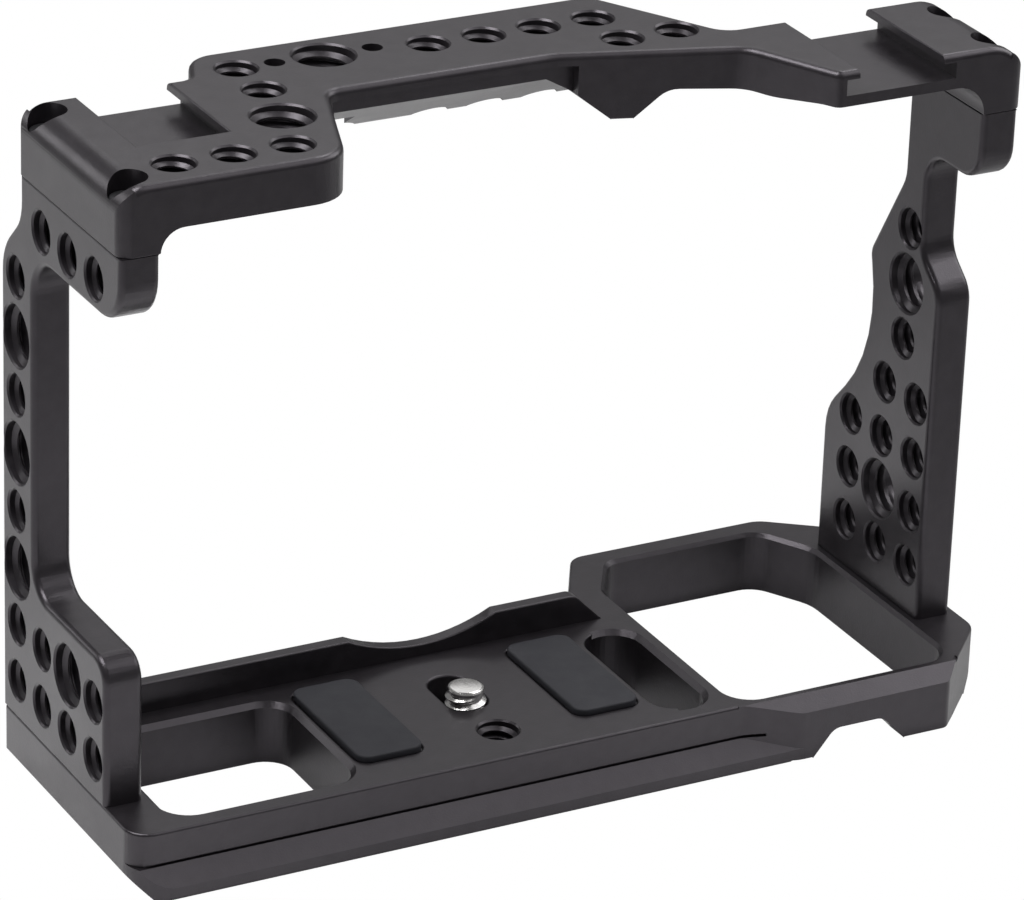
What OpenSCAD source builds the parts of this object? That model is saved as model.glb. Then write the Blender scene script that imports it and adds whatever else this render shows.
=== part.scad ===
// Camera cage: a bolted frame of four aluminium plates round a camera body.
// The origin is on the camera screw's axis, on the floor that the camera stands on.
// +X is to the right and +Y forward, as seen from behind the camera, and +Z is up.

/* [Frame] */
// Overall width, over the two side plates
cage_w = 147.8; // [147:0.1:157.8]
// Camera screw's axis to the left side plate's outer face
left_reach = 64.2; // [63:0.1:66]
// Camera screw's axis back to the rear face of the side and top plates
rear_reach = 13.9; // [13.6:0.1:16]
// Height of the side plates, from the camera floor to the top plate
side_h = 88.5; // [88:0.5:100]
// Thickness of each side plate
side_t = 6.2; // [6:0.1:7]
// How far the base plate stands out beyond the right side plate
base_over = 1.3; // [0.5:0.1:1.6]
// How far the top plate stands out beyond the right side plate
top_over = 0.8; // [0:0.1:1.2]

/* [Threaded holes] */
// Radius of a 1/4 inch threaded hole
small_r = 3.175; // [2.9:0.005:3.3]
// Radius of a 3/8 inch threaded hole
big_r = 4.7625; // [4.4:0.0025:4.9]
// Countersink round each threaded hole
rim_cs = 0.28; // [0.1:0.02:0.5]
// Spacing of the holes up the left plate
pitch_z = 9.4; // [9.3:0.05:9.6]
// Spacing of the holes everywhere else
pitch = 9.25; // [9.1:0.05:9.4]
// First row of holes above the camera floor, and last row below the top plate
row_inset = 6.1; // [5.8:0.1:6.6]

/* [Base plate] */
// Thickness of the base plate
base_t = 10.2; // [9.8:0.1:12]
// Camera screw's axis back to the base plate's rear face
base_rear = 19.3; // [19:0.1:21]
// Camera screw's axis forward to the front face of the lip
base_front = 18.4; // [17.8:0.1:20]
// Thickness of the front lip
lip_t = 2.3; // [1.8:0.1:3]
// Height of the front lip above the camera floor
lip_h = 4.9; // [4:0.1:7]
// Depth of the round dip in the middle of the lip
lip_dip = 3; // [1:0.1:3.4]
// Width over the dovetail under the base plate
dovetail_w = 38; // [37.8:0.1:38]
// Height of the dovetail's straight edge
dovetail_edge = 2.1; // [1.6:0.1:2.6]
// How far the dovetail flares out on each side
dovetail_flare = 2.6; // [2:0.1:3]
// Width of the relief groove above the dovetail
dovetail_groove = 0.5; // [0.3:0.1:0.8]
// Bevel along the lower left and right edges of the base plate
base_bevel = 2.9; // [1:0.1:3.2]
// Margin of the camera floor round the rubber pads
pad_margin = 0.7; // [0.5:0.1:1]

/* [Camera seat] */
// Width of the slot for the camera screw
slot_w = 6.7; // [6.6:0.1:7.5]
// How far the camera screw slides forward in its slot
slot_travel = 5.3; // [3:0.1:7]
// Thickness of the web that the slot is cut in
slot_web = 4.4; // [4:0.1:4.6]
// Camera screw's tip above the camera floor when it is lowered
tip_rise = 2.5; // [1:0.1:3]
// Diameter of the camera screw's head
head_d = 12; // [10:0.1:12.4]
// Thickness of the camera screw's head
head_t = 2; // [1.6:0.1:2.2]
// Diameter of the camera screw's neck, below its thread
neck_d = 4.8; // [4:0.1:5]
// Thickness of the washer that holds the screw in its slot
washer_t = 0.6; // [0.4:0.1:0.8]
// Thickness of the clip on the screw's neck
clip_t = 0.5; // [0.4:0.1:0.6]
// Length of each rubber pad
pad_l = 24.6; // [20:0.1:26]
// Width of each rubber pad
pad_w = 10.9; // [9:0.1:11.2]
// Height of the rubber pads above the floor
pad_rise = 0.9; // [0.5:0.1:1.5]
// Middle of each rubber pad to the camera screw's axis
pad_x = 18.4; // [18:0.1:18.8]

/* [Top plate] */
// Full thickness of the top plate
top_t = 10.6; // [10.4:0.1:13]
// Thickness of the top plate's web
web_t = 7; // [6.6:0.1:7.4]
// Radius of the top plate's outer shoulders
shoulder_r = 4.2; // [3:0.1:5]
// Opening between the lips of a cold shoe
shoe_gap = 14.6; // [14:0.1:15]
// Inside width of a cold shoe, under its lips
shoe_w = 19; // [18.6:0.1:19.4]
// Depth of a cold shoe's floor below the top face
shoe_d = 3.8; // [3.4:0.1:4]
// Thickness of a cold shoe's lips
shoe_lip = 1.3; // [1:0.1:1.5]
// Spacing of the two locating pin holes
pin_spacing = 16; // [15.8:0.1:16.2]
// Radius of a locating pin hole
pin_r = 1.6; // [1.4:0.1:2.1]

/* [Assembly screws] */
// Radius of an assembly screw's thread
bolt_r = 1.5; // [1.2:0.05:1.6]
// Radius of an assembly screw's head
bolt_head_r = 2.75; // [2.2:0.05:2.8]
// Height of an assembly screw's head
bolt_head_h = 2; // [1.6:0.1:2.2]
// Length of an assembly screw under its head
bolt_len = 10; // [9:0.1:10.2]
// Radial clearance round the screw heads in their counterbores
head_gap = 0.15; // [0.05:0.05:0.3]
// Counterbores' depth in the top plate
top_sink = 5; // [4:0.1:5.4]
// Counterbores' depth in the base plate
base_sink = 4.6; // [4:0.1:5]

/* [Hidden] */

eps = 0.01;
past = 3;
arc_step = 10;
$fn = 64;

x_left = -left_reach;
x_right = cage_w - left_reach;
base_right = x_right + base_over;
top_right = x_right + top_over;
y_rear = -rear_reach;
z_top = side_h + top_t;
z_web = z_top - web_t;
left_inner = x_left + side_t;
right_inner = x_right - side_t;
left_mid = x_left + side_t / 2;
right_mid = x_right - side_t / 2;

// Front faces of the two side plates' feet and of the top plate's parts
left_front = 28.3;
right_front = 26;
bar_front = 30;
left_block_front = 21.9;
right_block_front = 8.8;

// Front columns of holes, from which the others count backwards, and first rows
left_col_y = 22.9;
right_col_y = 17.9;
right_row_z = row_inset + 1.7;

// Column of holes up the right plate's narrow part, and the plate's rear edge there
upper_col_y = 4.3;
upper_rear = 0.7;

// Assembly screws stand midway between columns of holes
left_screw_y = [left_col_y - pitch / 2, left_col_y - 5 * pitch / 2];
right_screw_y = [right_col_y + pitch / 2, right_col_y - 3 * pitch / 2];
top_left_screw_y = [left_col_y - pitch / 2, left_col_y - 7 * pitch / 2];
top_right_screw_y = [3.1, -9.3];
shank_gap = 0.15;
tap_gap = 0.05;
cb_r = bolt_head_r + head_gap;
cb_top = z_top - top_sink;
cb_base = base_sink - base_t;

// Camera screw, from its head's top face up
head_r = head_d / 2;
head_top = head_t - base_t + 0.2;
head_slot_r = head_r + 0.3;
washer_r = head_slot_r + 0.4;
washer_room = washer_t + 0.1;
washer_top = -slot_web - 0.05;
lift = washer_top - washer_t - clip_t - head_top;

// Windows in the base plate
ring_rear = base_rear + dovetail_flare;
ring_front = 37.4;
ring_left = 37.5;
pad_seat = 0.4;
pad_y = base_front - lip_t - 3.6 - pad_l / 2;
flank_z = dovetail_edge + dovetail_flare - base_t;

function unit(v) = v / norm(v);
function turn(p, v, n) = cross(v - p, n - v);

// Points that round the corner v between its neighbours p and n to radius r
function corner(p, v, n, r) =
    r <= 0 || abs(turn(p, v, n)) < 1e-6 ? [v] :
    let (
        a = unit(p - v), b = unit(n - v),
        half = acos(a * b) / 2,
        centre = v + unit(a + b) * r / sin(half),
        foot = v + a * r / tan(half) - centre,
        start = atan2(foot.y, foot.x),
        sweep = sign(turn(p, v, n)) * (180 - 2 * half),
        steps = max(2, round(abs(sweep) / arc_step))
    )
    [for (i = [0:steps]) centre + r * [cos(start + sweep * i / steps),
                                       sin(start + sweep * i / steps)]];

function at(c) = [c.x, c.y];
function wrap(list, i) = list[(i + len(list)) % len(list)];

// Outline through corners [x, y, radius], listed anticlockwise
function rounded(corners) = [
    for (i = [0:len(corners) - 1])
        each corner(at(wrap(corners, i - 1)), at(corners[i]), at(wrap(corners, i + 1)),
                    corners[i].z)
];

// Plate of an outline, from z = 0 to t
module plate(corners, t) linear_extrude(t) polygon(rounded(corners));

// Solid of an outline in Y and Z, from x0 to x1
module along_x(corners, x0, x1)
    translate([x0, 0, 0]) rotate([90, 0, 90])
        linear_extrude(x1 - x0) polygon(rounded(corners));

// Solid of an outline in X and Z, from y0 to y1
module along_y(corners, y0, y1)
    translate([0, y1, 0]) rotate([90, 0, 0])
        linear_extrude(y1 - y0) polygon(rounded(corners));

// Threaded hole through a plate from z = 0 to t, countersunk on both faces
module tapped(r, t) {
    translate([0, 0, -eps]) cylinder(r = r, h = t + 2 * eps);
    translate([0, 0, -eps]) cylinder(r1 = r + rim_cs + eps, r2 = r, h = rim_cs + eps);
    translate([0, 0, t - rim_cs]) cylinder(r1 = r, r2 = r + rim_cs + eps, h = rim_cs + eps);
}

// Window through the base plate
module window(corners) translate([0, 0, -base_t - eps]) plate(corners, base_t + 2 * eps);

// Slot with round ends along Y, from y = 0 to l between its ends' centres
module obround(r, l, z0, z1)
    translate([0, 0, z0]) linear_extrude(z1 - z0) {
        circle(r);
        translate([0, l]) circle(r);
        translate([-r, 0]) square([2 * r, l]);
    }

function box_corners(x0, y0, x1, y1, r) =
    [[x0, y0, r], [x1, y0, r], [x1, y1, r], [x0, y1, r]];

// ---- Base plate ----

base_outline = [
    [x_left, -base_rear, 3.8],
    [base_right - 9, -base_rear, 1.2],
    [base_right, 9.3 - base_rear, 4],
    [base_right, ring_front - 8.7, 5],
    [base_right - 12, ring_front, 5],
    [ring_left + 0.9, ring_front, 3.5],
    [ring_left - 10.2, base_front, 3],
    [left_inner + 8, base_front, 6],
    [left_inner + 0.8, left_front, 4],
    [x_left, left_front, 1.5]
];

// Rear wall of the battery window, flush with the dovetail's edge
ring_wall_outline = [
    [ring_left - 3, -base_rear, 0],
    [ring_left + 0.3, -base_rear, 6],
    [ring_left + 9.4, -ring_rear, 6],
    [base_right - 9 - dovetail_flare, -ring_rear, 1.5],
    [base_right - 8, 1 - base_rear, 0],
    [base_right - 12, 4 - base_rear, 0],
    [ring_left - 3, 4 - base_rear, 0]
];

// Rear half of the dovetail, along the base plate's lower rear edge
dovetail_flange = [
    [past - base_rear, flank_z, 0],
    [-base_rear, flank_z, 0],
    [-ring_rear, flank_z - dovetail_flare, 0],
    [-ring_rear, 0.4 - base_t, 0],
    [0.4 - ring_rear, -base_t, 0],
    [past - base_rear, -base_t, 0]
];

// Space round the dovetail's rounded left end
module flange_corner() translate([x_left, -ring_rear, -base_t - past])
    difference() {
        translate([-past, -past]) cube([6 + past, 6 + past, base_t]);
        translate([6, 6, -1]) cylinder(r = 6, h = base_t + 2);
    }

// Space outside the dovetail's flank along the front of the base plate
front_relief = let (y = dovetail_w - ring_rear) [
    [y - dovetail_flare + 0.8, flank_z - 0.8, 0],
    [y, flank_z - dovetail_flare, 0],
    [y, -base_t - past, 0],
    [base_front + past, -base_t - past, 0],
    [base_front + past, flank_z - 0.8, 0]
];

// Groove along the top of the dovetail's rear flank
neck_groove = [
    [-ring_rear - past, flank_z, 0],
    [dovetail_groove - base_rear, flank_z, 0],
    [dovetail_groove - base_rear, flank_z + dovetail_groove, 0],
    [-ring_rear - past, flank_z + dovetail_groove, 0]
];

left_window = box_corners(left_inner + 1.8, 3.6 - base_rear,
    -1 - pad_x - pad_w / 2 - pad_margin, base_front - 6.6, 4.5);
long_slot = box_corners(pad_x + pad_w / 2 + 2 * pad_margin, 3.3 - base_rear,
    ring_left - 3, base_front - 6.6, 4.5);
battery_window = [
    [ring_left, 1.5 - base_rear, 4.5],
    [right_inner - 1.6, 1.5 - base_rear, 4.5],
    [right_inner - 1.6, ring_front - 13.4, 8],
    [right_inner - 7, ring_front - 4, 4.5],
    [ring_left + 5.5, ring_front - 4, 3.5],
    [ring_left, ring_front - 12.9, 4]
];

module front_lip() {
    dip_w = 25.5;
    dip_r = (dip_w * dip_w / 4 + lip_dip * lip_dip) / (2 * lip_dip);
    lip = [
        [left_inner + tap_gap, -1, 0], [ring_left - 3, -1, 0], [ring_left - 5.2, 0, 2],
        [ring_left - 10, lip_h, 2.5], [left_inner + tap_gap, lip_h, 0]
    ];
    difference() {
        along_y(lip, base_front - lip_t, base_front);
        translate([0.75, base_front + past, lip_h - lip_dip + dip_r]) rotate([90, 0, 0])
            cylinder(r = dip_r, h = lip_t + 2 * past, $fn = 128);
    }
}

// Seat of an assembly screw's head, its clearance hole, and where they stand
module base_screw_hole(x, y) {
    translate([x, y, -base_t - past]) cylinder(r = cb_r, h = base_sink + past);
    translate([x, y, -base_t]) cylinder(r = bolt_r + shank_gap, h = base_t + past);
}

module lower_bevel(x, side) {
    reach = base_bevel + past;
    along_y([for (c = side > 0
        ? [[-past, -past], [reach, -past], [-past, reach]]
        : [[past, -past], [past, reach], [-reach, -past]])
        [x + c.x, c.y - base_t, 0]], -ring_rear - past, ring_front + past);
}

module pad_outline(x, grow)
    translate([x, pad_y, 0]) polygon(rounded(box_corners(
        -pad_w / 2 - grow, -pad_l / 2 - grow, pad_w / 2 + grow, pad_l / 2 + grow, 2 + grow)));

module base_plate() color([0.16, 0.16, 0.17]) difference() {
    union() {
        translate([0, 0, -base_t]) plate(base_outline, base_t);
        translate([0, 0, -base_t]) plate(ring_wall_outline, base_t);
        difference() {
            along_x(dovetail_flange, x_left, ring_left + 10);
            flange_corner();
        }
        front_lip();
    }
    along_x([[-base_rear, 0, 0], [-ring_rear - past, -2 - past * 0.8, 0],
        [-ring_rear - past, 1, 0], [-base_rear, 1, 0]], ring_left - 6, base_right);
    along_x(front_relief, left_inner + 12, ring_left - 15.5);
    along_x(neck_groove, x_left - past, ring_left + 4);
    lower_bevel(x_left, 1);
    lower_bevel(base_right, -1);
    window(left_window);
    window(long_slot);
    window(battery_window);
    along_y([
        [ring_left + 11.7, -base_t - eps, 0], [ring_left + 28.1, -base_t - eps, 0],
        [ring_left + 23.9, 4.4 - base_t, 2.5], [ring_left + 15.3, 4.4 - base_t, 2.5]
    ], -ring_rear - past, 3 - base_rear);
    obround(slot_w / 2, slot_travel, -base_t, past);
    obround(head_slot_r, slot_travel, -base_t - eps, -slot_web);
    obround(washer_r + 0.2, slot_travel, -slot_web - washer_room, -slot_web);
    translate([0, -10.7, -base_t]) tapped(small_r, base_t);
    for (x = [-pad_x, pad_x])
        translate([0, 0, -pad_seat]) linear_extrude(past) pad_outline(x, 0.1);
    for (y = left_screw_y) base_screw_hole(left_mid, y);
    for (y = right_screw_y) base_screw_hole(right_mid, y);
}

// ---- Side plates ----

// Side plate from x0, of an outline in Y and Z
module side_plate(corners, x0) translate([x0, 0, 0]) rotate([90, 0, 90]) plate(corners, side_t);

module side_holes(x0, places)
    for (p = places) translate([x0, p[0], p[1]]) rotate([0, 90, 0]) tapped(p[2], side_t);

// Threaded holes for the assembly screws, up from the base or down from the top plate
module screw_taps(x, base_y, top_y) {
    base_tap = bolt_len - (base_t - base_sink) + 0.3;
    top_tap = bolt_len - (top_t - top_sink) + 0.3;
    for (y = base_y) translate([x, y, -eps])
        cylinder(r = bolt_r + tap_gap, h = base_tap);
    for (y = top_y) translate([x, y, side_h - top_tap])
        cylinder(r = bolt_r + tap_gap, h = top_tap + eps);
}

left_outline = [
    [-9.1, 0, 0],
    [left_front, 0, 0],
    [left_front, side_h - 13.7, 8],
    [left_block_front - 0.7, side_h - 6.7, 7],
    [left_block_front - 0.7, side_h, 0],
    [y_rear, side_h, 0],
    [y_rear, side_h - 10.9, 7],
    [16.8, side_h - 10.9, 6.5],
    [16.8, 23.5, 5],
    [-9.1, 23.5, 4]
];

left_holes = concat(
    [for (row = [0:7]) [left_col_y, row_inset + row * pitch_z,
        row == 2 || row == 4 || row == 6 ? big_r : small_r]],
    [for (row = [0:1]) [left_col_y - pitch, row_inset + row * pitch_z, small_r]],
    [for (row = [0:1]) [left_col_y - 2 * pitch, row_inset + row * pitch_z,
        row == 1 ? big_r : small_r]],
    [for (row = [0:1]) [left_col_y - 3 * pitch, row_inset + row * pitch_z, small_r]],
    [for (col = [1:3]) [left_col_y - col * pitch, side_h - row_inset, small_r]]
);

module left_side_plate() color([0.2, 0.2, 0.21]) difference() {
    side_plate(left_outline, x_left);
    side_holes(x_left, left_holes);
    screw_taps(left_mid, left_screw_y, top_left_screw_y);
}

right_outline = [
    [-5, 0, 0],
    [right_front, 0, 0],
    [right_front, 24.5, 9],
    [11.4, 40.5, 25],
    [15.7, 55.5, 3],
    [6.9, 70.9, 6],
    [6.9, side_h, 0],
    [y_rear, side_h, 0],
    [y_rear, side_h - 11.5, 5.5],
    [upper_rear, side_h - 11.5, 4.5],
    [upper_rear, 60.5, 5],
    [-5, 55.8, 5]
];

right_holes = concat(
    [for (row = [0:2]) [right_col_y, right_row_z + row * pitch, small_r]],
    [for (row = [0:3]) [right_col_y - pitch, right_row_z + row * pitch,
        row == 1 ? big_r : small_r]],
    [for (row = [0:3]) [right_col_y - 2 * pitch, right_row_z + row * pitch, small_r]],
    [for (row = [4:6]) [upper_col_y, right_row_z + row * pitch,
        row == 5 ? big_r : small_r]]
);

module right_side_plate() color([0.19, 0.19, 0.2]) difference() {
    side_plate(right_outline, right_inner);
    side_holes(right_inner, right_holes);
    screw_taps(right_mid, right_screw_y, top_right_screw_y);
}

// ---- Top plate ----

left_shoe_x = left_inner + 10;
right_shoe_x = right_inner - 14.9;
bar_rear = 9.4;

top_outline = [
    [x_left, y_rear, 2.2],
    [-29.2, y_rear, 7],
    [-20.8, bar_rear, 3],
    [16, bar_rear, 8],
    [44.3, 0.9, 5],
    [51.6, y_rear, 1.5],
    [top_right, y_rear, 2.2],
    [top_right, right_block_front, 1.5],
    [45.2, right_block_front, 4],
    [33.3, bar_front, 4],
    [-33.6, bar_front, 5],
    [-36.8, left_block_front + 0.6, 1.5],
    [-38.4, left_block_front, 1.2],
    [x_left, left_block_front, 1.5]
];

// Round shoulder of radius shoulder_r along the upper edge at x, which faces left or right
module shoulder(x, side) {
    depth = bar_front + rear_reach + 2 * past;
    axis_x = x + side * shoulder_r;
    translate([0, y_rear - past, 0]) difference() {
        translate([min(axis_x, axis_x - side * (shoulder_r + past)), 0, z_top - shoulder_r])
            cube([shoulder_r + past, depth, shoulder_r + past]);
        translate([axis_x, -1, z_top - shoulder_r]) rotate([-90, 0, 0])
            cylinder(r = shoulder_r, h = depth + 2);
    }
}

// T-shaped slot of a cold shoe about x, from y0 to y1
module cold_shoe(x, y0, y1) {
    translate([x - shoe_gap / 2, y0, z_top - shoe_d]) cube([shoe_gap, y1 - y0, shoe_d + past]);
    translate([x - shoe_w / 2, y0, z_top - shoe_d])
        cube([shoe_w, y1 - y0, shoe_d - shoe_lip]);
}

// Rows of threaded holes in the top plate: [x, y, radius]
top_holes = concat(
    [for (i = [0:2]) [-34.6 - i * pitch, -7.4, small_r]],
    [for (i = [0:1]) [-29.2, 22.7 - i * pitch, small_r]],
    [[-31.2, 3, big_r], [-15, 22.7, big_r]],
    [for (i = [0:3]) [1.4 + i * pitch, 21, small_r]],
    [for (i = [3:4]) [1.4 + i * pitch, 21 - pitch, small_r]]
);

// Hollow under the bar: its ceiling slopes down from the rear to the skirt
module bar_hollow() {
    skirt_y = 20.1;
    ceiling_z = z_top - 3.9;
    intersection() {
        along_x([[0, side_h - past, 0], [skirt_y, side_h - past, 0], [skirt_y, side_h, 0],
            [bar_rear + 0.5, ceiling_z, 0], [0, ceiling_z, 0]], -19.5, 40);
        along_y([[-19.5, side_h - past, 0], [28.7, side_h - past, 0], [19.5, side_h + 4.4, 8],
            [8, side_h + 10.9, 0], [-19.5, side_h + 10.9, 0]], 0, bar_front + past);
    }
}

module top_plate() color([0.18, 0.18, 0.19]) difference() {
    translate([0, 0, side_h]) plate(top_outline, top_t);
    shoulder(x_left, 1);
    shoulder(top_right, -1);
    cold_shoe(left_shoe_x, 0.5, left_block_front + past);
    cold_shoe(right_shoe_x, y_rear - past, right_block_front + past);
    for (h = top_holes) translate([h[0], h[1], side_h]) tapped_down(h[2]);
    for (side = [-1, 1]) translate([-15 + side * pin_spacing / 2, 22.7, side_h - past])
        cylinder(r = pin_r, h = top_t + 2 * past);
    along_y([[left_inner, side_h - past, 0], [-13.7, side_h - past, 0], [-13.7, z_web, 0],
        [left_inner, z_web, 3.7]], y_rear - past, bar_front + past);
    translate([-24, bar_front - 3.5, side_h - past]) cube([6.6, past + 4, top_t - 3 + past]);
    bar_hollow();
    translate([-20.3, 0, side_h - past]) cube([40.3, bar_rear + 0.5, top_t - 1.9 + past]);
    along_y([[24.9, side_h - past, 0], [right_inner, side_h - past, 0],
        [right_inner, z_web + 1.5, 5], [50.5, z_web + 1.5, 4], [46.5, z_web + 0.4, 4],
        [33.1, z_web + 0.9, 4]], y_rear - past, bar_front + past);
    for (y = top_left_screw_y) top_screw_hole(left_mid, y);
    for (y = top_right_screw_y) top_screw_hole(right_mid, y);
}

// Threaded hole down through the top plate, countersunk on its top face
module tapped_down(r) {
    translate([0, 0, -past]) cylinder(r = r, h = top_t + 2 * past);
    translate([0, 0, top_t - rim_cs]) cylinder(r1 = r, r2 = r + rim_cs + eps, h = rim_cs + eps);
}

module top_screw_hole(x, y) {
    translate([x, y, cb_top]) cylinder(r = cb_r, h = top_sink + past);
    translate([x, y, side_h - past]) cylinder(r = bolt_r + shank_gap, h = top_t);
}

// ---- Rubber pads ----

module rubber_pad(x) color([0.1, 0.1, 0.11]) translate([0, 0, -pad_seat])
    linear_extrude(pad_seat + pad_rise) pad_outline(x, 0);
module left_rubber_pad() rubber_pad(-pad_x);
module right_rubber_pad() rubber_pad(pad_x);

// ---- Camera screw ----

module camera_screw() color([0.82, 0.82, 0.84]) difference() {
    thread_start = washer_top + 0.1;
    tip_bevel = 0.4;
    union() {
        translate([0, 0, head_top - head_t]) cylinder(r = head_r, h = head_t);
        translate([0, 0, head_top - eps]) cylinder(d = neck_d, h = thread_start - head_top + 2 * eps);
        translate([0, 0, thread_start])
            cylinder(r = small_r, h = tip_rise - tip_bevel - thread_start);
        translate([0, 0, tip_rise - tip_bevel])
            cylinder(r1 = small_r, r2 = small_r - tip_bevel, h = tip_bevel);
    }
    translate([0, 0, head_top - head_t - past]) cylinder(r = 2.3, h = past + 1.5, $fn = 6);
    translate([-head_r - 1, -0.6, head_top - head_t - past]) cube([head_d + 2, 1.2, past + 0.8]);
}

// Disc that rides in the groove under the web and holds the screw up by its thread
module slot_washer() color([0.75, 0.75, 0.77]) difference() {
    translate([0, 0, washer_top - washer_t]) cylinder(r = washer_r, h = washer_t);
    translate([0, 0, washer_top - washer_t - 1]) cylinder(d = neck_d + 0.2, h = washer_t + 2);
}

// Open spring clip round the screw's neck, on its head
module screw_clip() color([0.7, 0.7, 0.72]) difference() {
    translate([0, 0, head_top]) cylinder(r = neck_d / 2 + 1.6, h = clip_t);
    translate([0, 0, head_top - 1]) cylinder(d = neck_d + 0.1, h = clip_t + 2);
    translate([-neck_d / 2 + 0.5, 0, head_top - 1]) cube([neck_d - 1, head_d, clip_t + 2]);
}

// ---- Assembly screws ----

// Socket head screw with its head's seat at z = 0, and its shank towards z < 0
module bolt() color([0.14, 0.14, 0.15]) {
    difference() {
        cylinder(r = bolt_head_r, h = bolt_head_h);
        translate([0, 0, bolt_head_h - 1.2]) cylinder(r = 1.44, h = past, $fn = 6);
    }
    translate([0, 0, -bolt_len]) cylinder(r = bolt_r, h = bolt_len);
}

module top_bolt(x, y) translate([x, y, cb_top]) bolt();
module base_bolt(x, y) translate([x, y, cb_base]) rotate([180, 0, 0]) bolt();
module top_screw_left_front() top_bolt(left_mid, top_left_screw_y[0]);
module top_screw_left_rear() top_bolt(left_mid, top_left_screw_y[1]);
module top_screw_right_front() top_bolt(right_mid, top_right_screw_y[0]);
module top_screw_right_rear() top_bolt(right_mid, top_right_screw_y[1]);
module base_screw_left_front() base_bolt(left_mid, left_screw_y[0]);
module base_screw_left_rear() base_bolt(left_mid, left_screw_y[1]);
module base_screw_right_front() base_bolt(right_mid, right_screw_y[0]);
module base_screw_right_rear() base_bolt(right_mid, right_screw_y[1]);

base_plate();
left_side_plate();
right_side_plate();
top_plate();
left_rubber_pad();
right_rubber_pad();
camera_screw();
slot_washer();
screw_clip();
top_screw_left_front();
top_screw_left_rear();
top_screw_right_front();
top_screw_right_rear();
base_screw_left_front();
base_screw_left_rear();
base_screw_right_front();
base_screw_right_rear();
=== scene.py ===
"""Camera cage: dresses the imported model, sets up the studio and places the camera."""

import logging
import math
from contextlib import contextmanager
from dataclasses import dataclass, field
from enum import Enum
from typing import Callable, Iterable, Iterator, Sequence

import bmesh
import bpy
from mathutils import Matrix, Vector


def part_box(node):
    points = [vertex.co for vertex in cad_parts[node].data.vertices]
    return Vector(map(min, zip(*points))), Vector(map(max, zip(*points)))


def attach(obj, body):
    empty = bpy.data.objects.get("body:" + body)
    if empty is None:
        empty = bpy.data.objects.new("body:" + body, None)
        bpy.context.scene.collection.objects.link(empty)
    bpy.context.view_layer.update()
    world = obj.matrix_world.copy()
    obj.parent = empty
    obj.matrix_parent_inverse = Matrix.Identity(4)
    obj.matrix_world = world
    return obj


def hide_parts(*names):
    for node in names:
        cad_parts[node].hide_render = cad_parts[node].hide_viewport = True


log = logging.getLogger("camera_cage")

MM = 0.001
CAGE = "cage"
# Angle round a hole's axis at which its thread ends, out of the lamps' light.
SHADED_SIDE = math.radians(242)
# A smaller face has no reliable normal of its own.
SLIVER_AREA = 2e-4 * MM ** 2
# Points and levels nearer than this, in millimetres, count as one.
SAME_PLACE = 0.02

Place = tuple[float, float, float]
Colour = tuple[float, float, float]
Socket = bpy.types.NodeSocket
Feed = Socket | float | Colour

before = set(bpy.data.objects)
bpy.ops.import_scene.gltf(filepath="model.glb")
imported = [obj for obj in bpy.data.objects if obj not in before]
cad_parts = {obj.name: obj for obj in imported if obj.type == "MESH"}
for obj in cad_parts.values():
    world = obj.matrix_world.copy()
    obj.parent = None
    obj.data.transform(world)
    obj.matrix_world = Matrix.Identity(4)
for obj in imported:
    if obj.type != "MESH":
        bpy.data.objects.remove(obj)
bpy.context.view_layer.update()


# ---------------------------------------------------------------- bench tools


class Axis(Enum):
    """Direction along which a hole is drilled."""

    X = "x"
    Z = "z"

    def turn(self, end_angle: float) -> Matrix:
        """Lays a thread along this axis, with its nearer end on the shaded side.

        Args:
            end_angle: Angle at which the thread made along +Z ends.

        Returns:
            The matrix.
        """
        if self is Axis.X:
            return (Matrix.Rotation(math.radians(90), 4, "Y")
                    @ Matrix.Rotation(SHADED_SIDE, 4, "Z"))
        return Matrix.Rotation(SHADED_SIDE - end_angle, 4, "Z")


def deselect_all() -> None:
    """Leaves nothing selected or active."""
    if bpy.context.object and bpy.context.object.mode != "OBJECT":
        bpy.ops.object.mode_set(mode="OBJECT")
    bpy.ops.object.select_all(action="DESELECT")
    bpy.context.view_layer.objects.active = None


def pick(piece: bpy.types.Object) -> None:
    """Makes a piece the only selected and the active object.

    Args:
        piece: The object to work on.
    """
    deselect_all()
    piece.select_set(True)
    bpy.context.view_layer.objects.active = piece


@contextmanager
def edit_all(piece: bpy.types.Object) -> Iterator[None]:
    """Opens a piece in edit mode with all of it selected, and closes it afterwards.

    Args:
        piece: The object to edit.
    """
    pick(piece)
    bpy.ops.object.mode_set(mode="EDIT")
    bpy.ops.mesh.select_all(action="SELECT")
    yield
    bpy.ops.object.mode_set(mode="OBJECT")


def freeze_place(piece: bpy.types.Object) -> None:
    """Moves an object's place into its mesh, and leaves the object at the origin.

    Args:
        piece: The object to settle.
    """
    bpy.context.view_layer.update()
    piece.data.transform(piece.matrix_world)
    piece.matrix_world = Matrix.Identity(4)


def copy_piece(piece: bpy.types.Object, name: str) -> bpy.types.Object:
    """Copies a piece with its own mesh.

    Args:
        piece: The object to copy.
        name: Name of the copy and its mesh.

    Returns:
        The copy, linked to the scene.
    """
    twin = bpy.data.objects.new(name, piece.data.copy())
    twin.data.name = name
    bpy.context.scene.collection.objects.link(twin)
    return twin


def merged_copy(node: str, name: str) -> bpy.types.Object:
    """Copies a CAD node and merges its loose triangles into one skin.

    Args:
        node: Name of the CAD node.
        name: Name of the copy.

    Returns:
        The copy, with no material.
    """
    piece = copy_piece(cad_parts[node], name)
    piece.data.materials.clear()
    with edit_all(piece):
        bpy.ops.mesh.remove_doubles(threshold=1e-6)
    return piece


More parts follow.
